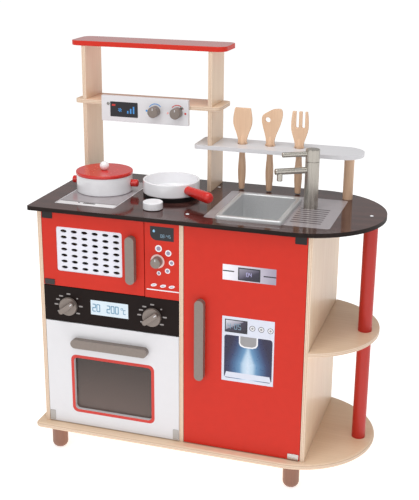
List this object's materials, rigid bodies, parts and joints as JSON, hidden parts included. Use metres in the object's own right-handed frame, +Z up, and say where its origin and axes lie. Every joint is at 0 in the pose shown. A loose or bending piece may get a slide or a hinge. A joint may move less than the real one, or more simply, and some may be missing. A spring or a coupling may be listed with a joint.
{
  "type": "toy kitchen",
  "caption": "Wooden toy kitchen: cabinet with hinged oven, microwave and fridge doors, dark worktop with sink, tap and hob, rounded open end, hutch shelf, utensil shelf and loose cookware",
  "frame": {"origin": "middle of the bounding box's footprint at floor level", "axes": "+Z up, front faces -Y, +X to the right as seen from the front, towards the rounded open end"},
  "size_m": [0.744, 0.35, 0.909],
  "materials": {
    "plywood": "clear-lacquered birch plywood",
    "beech": "turned beech, satin lacquer",
    "worktop": "dark wenge-pattern board, high gloss",
    "red_paint": "red paint on wood, satin gloss",
    "white_paint": "white paint on wood, satin gloss",
    "black_panel": "black-brown gloss paint on wood",
    "grey_paint": "grey metallic paint on wood",
    "silver_paint": "silver-grey metallic paint on turned wood",
    "steel": "satin steel",
    "dark_steel": "dark bright-plated steel",
    "white_enamel": "white enamel",
    "red_wood": "red painted turned wood",
    "perforated": "white perforated sheet",
    "smoked_pane": "smoked grey-brown pane"
  },
  "bodies": {
    "cabinet": {"base_plate": "plywood", "left_side_panel": "plywood", "right_side_panel": "plywood", "divider_panel": "plywood", "back_panel": "plywood", "microwave_floor": "plywood", "oven_top_board": "plywood", "end_shelf": "plywood", "hutch_upright_left": "plywood", "hutch_upright_right": "plywood", "hutch_shelf": "plywood", "foot_front_left": "beech", "foot_front_right": "beech", "foot_back_left": "beech", "foot_back_right": "beech", "shelf_dowel": "beech", "countertop": "worktop", "microwave_control_panel": "red_paint", "top_shelf": "red_paint", "post_lower": "red_paint", "post_upper": "red_paint", "hood_panel": "white_paint", "utensil_shelf": "white_paint", "oven_control_panel": "black_panel", "burner_disc": "black_panel", "sink_basin": "steel"},
    "microwave_door": {"microwave_door": "red_paint", "microwave_window": "perforated", "microwave_handle": "grey_paint", "microwave_hinge_top": "dark_steel", "microwave_hinge_bottom": "dark_steel"},
    "oven_door": {"oven_door": "white_paint", "oven_window": "smoked_pane", "oven_handle": "grey_paint", "oven_hinge_left": "steel", "oven_hinge_right": "steel"},
    "fridge_door": {"fridge_door": "red_paint", "fridge_handle": "grey_paint", "fridge_hinge_top": "dark_steel", "fridge_hinge_bottom": "steel"},
    "microwave_knob": {"microwave_knob": "grey_paint"},
    "oven_knob_left": {"oven_knob_left": "grey_paint"},
    "oven_knob_right": {"oven_knob_right": "grey_paint"},
    "hood_knob_left": {"hood_knob_left": "grey_paint"},
    "hood_knob_right": {"hood_knob_right": "grey_paint"},
    "hob_knob": {"hob_knob": "white_paint"},
    "faucet": {"faucet_body": "silver_paint", "faucet_spout": "silver_paint"},
    "faucet_cap": {"faucet_cap": "silver_paint"},
    "pot": {"pot_body": "white_enamel", "pot_handle_left": "red_wood", "pot_handle_right": "red_wood"},
    "lid": {"pot_lid": "red_wood", "lid_knob": "white_enamel"},
    "pan": {"pan_body": "white_enamel", "pan_handle": "red_wood"},
    "spatula": {"spatula": "beech"},
    "turner": {"turner": "beech"},
    "serving_fork": {"serving_fork": "beech"}
  },
  "joints": [
    {"name": "microwave_door_hinge", "type": "hinge", "parent": "cabinet", "child": "microwave_door", "pos_m": [-0.3425, -0.155, 0.4937], "axis": [0, 0, -1], "range_deg": [0, 110]},
    {"name": "oven_door_hinge", "type": "hinge", "parent": "cabinet", "child": "oven_door", "pos_m": [-0.1868, -0.155, 0.0785], "axis": [1, 0, 0], "range_deg": [0, 90]},
    {"name": "fridge_door_hinge", "type": "hinge", "parent": "cabinet", "child": "fridge_door", "pos_m": [0.2385, -0.155, 0.328], "axis": [0, 0, 1], "range_deg": [0, 110]},
    {"name": "microwave_knob_turn", "type": "hinge", "parent": "cabinet", "child": "microwave_knob", "pos_m": [-0.078, -0.155, 0.491], "axis": [0, -1, 0], "range_deg": [-150, 150]},
    {"name": "oven_knob_left_turn", "type": "hinge", "parent": "cabinet", "child": "oven_knob_left", "pos_m": [-0.285, -0.155, 0.3645], "axis": [0, -1, 0], "range_deg": [-135, 135]},
    {"name": "oven_knob_right_turn", "type": "hinge", "parent": "cabinet", "child": "oven_knob_right", "pos_m": [-0.091, -0.155, 0.3645], "axis": [0, -1, 0], "range_deg": [-135, 135]},
    {"name": "hood_knob_left_turn", "type": "hinge", "parent": "cabinet", "child": "hood_knob_left", "pos_m": [-0.1587, 0.0555, 0.7635], "axis": [0, -1, 0], "range_deg": [-150, 150]},
    {"name": "hood_knob_right_turn", "type": "hinge", "parent": "cabinet", "child": "hood_knob_right", "pos_m": [-0.107, 0.0555, 0.7635], "axis": [0, -1, 0], "range_deg": [-150, 150]},
    {"name": "hob_knob_turn", "type": "hinge", "parent": "cabinet", "child": "hob_knob", "pos_m": [-0.107, -0.1025, 0.5875], "axis": [0, 0, 1], "range_deg": [-150, 150]},
    {"name": "faucet_swivel", "type": "hinge", "parent": "cabinet", "child": "faucet", "pos_m": [0.206, 0.014, 0.5875], "axis": [0, 0, 1], "range_deg": [-90, 90]},
    {"name": "faucet_lever_turn", "type": "hinge", "parent": "faucet", "child": "faucet_cap", "pos_m": [0.206, 0.014, 0.689], "axis": [0, 0, 1], "range_deg": [-60, 60]},
    {"name": "pot_lift", "type": "slide", "parent": "cabinet", "child": "pot", "axis": [0, -0.6, 0.8], "range_m": [0, 0.3]},
    {"name": "lid_lift", "type": "slide", "parent": "pot", "child": "lid", "axis": [0, 0, 1], "range_m": [0, 0.06]},
    {"name": "pan_lift", "type": "slide", "parent": "cabinet", "child": "pan", "axis": [0, -0.6, 0.8], "range_m": [0, 0.3]},
    {"name": "spatula_lift", "type": "slide", "parent": "cabinet", "child": "spatula", "axis": [0, 0, 1], "range_m": [0, 0.13]},
    {"name": "turner_lift", "type": "slide", "parent": "cabinet", "child": "turner", "axis": [0, 0, 1], "range_m": [0, 0.13]},
    {"name": "serving_fork_lift", "type": "slide", "parent": "cabinet", "child": "serving_fork", "axis": [0, 0, 1], "range_m": [0, 0.13]}
  ]
}
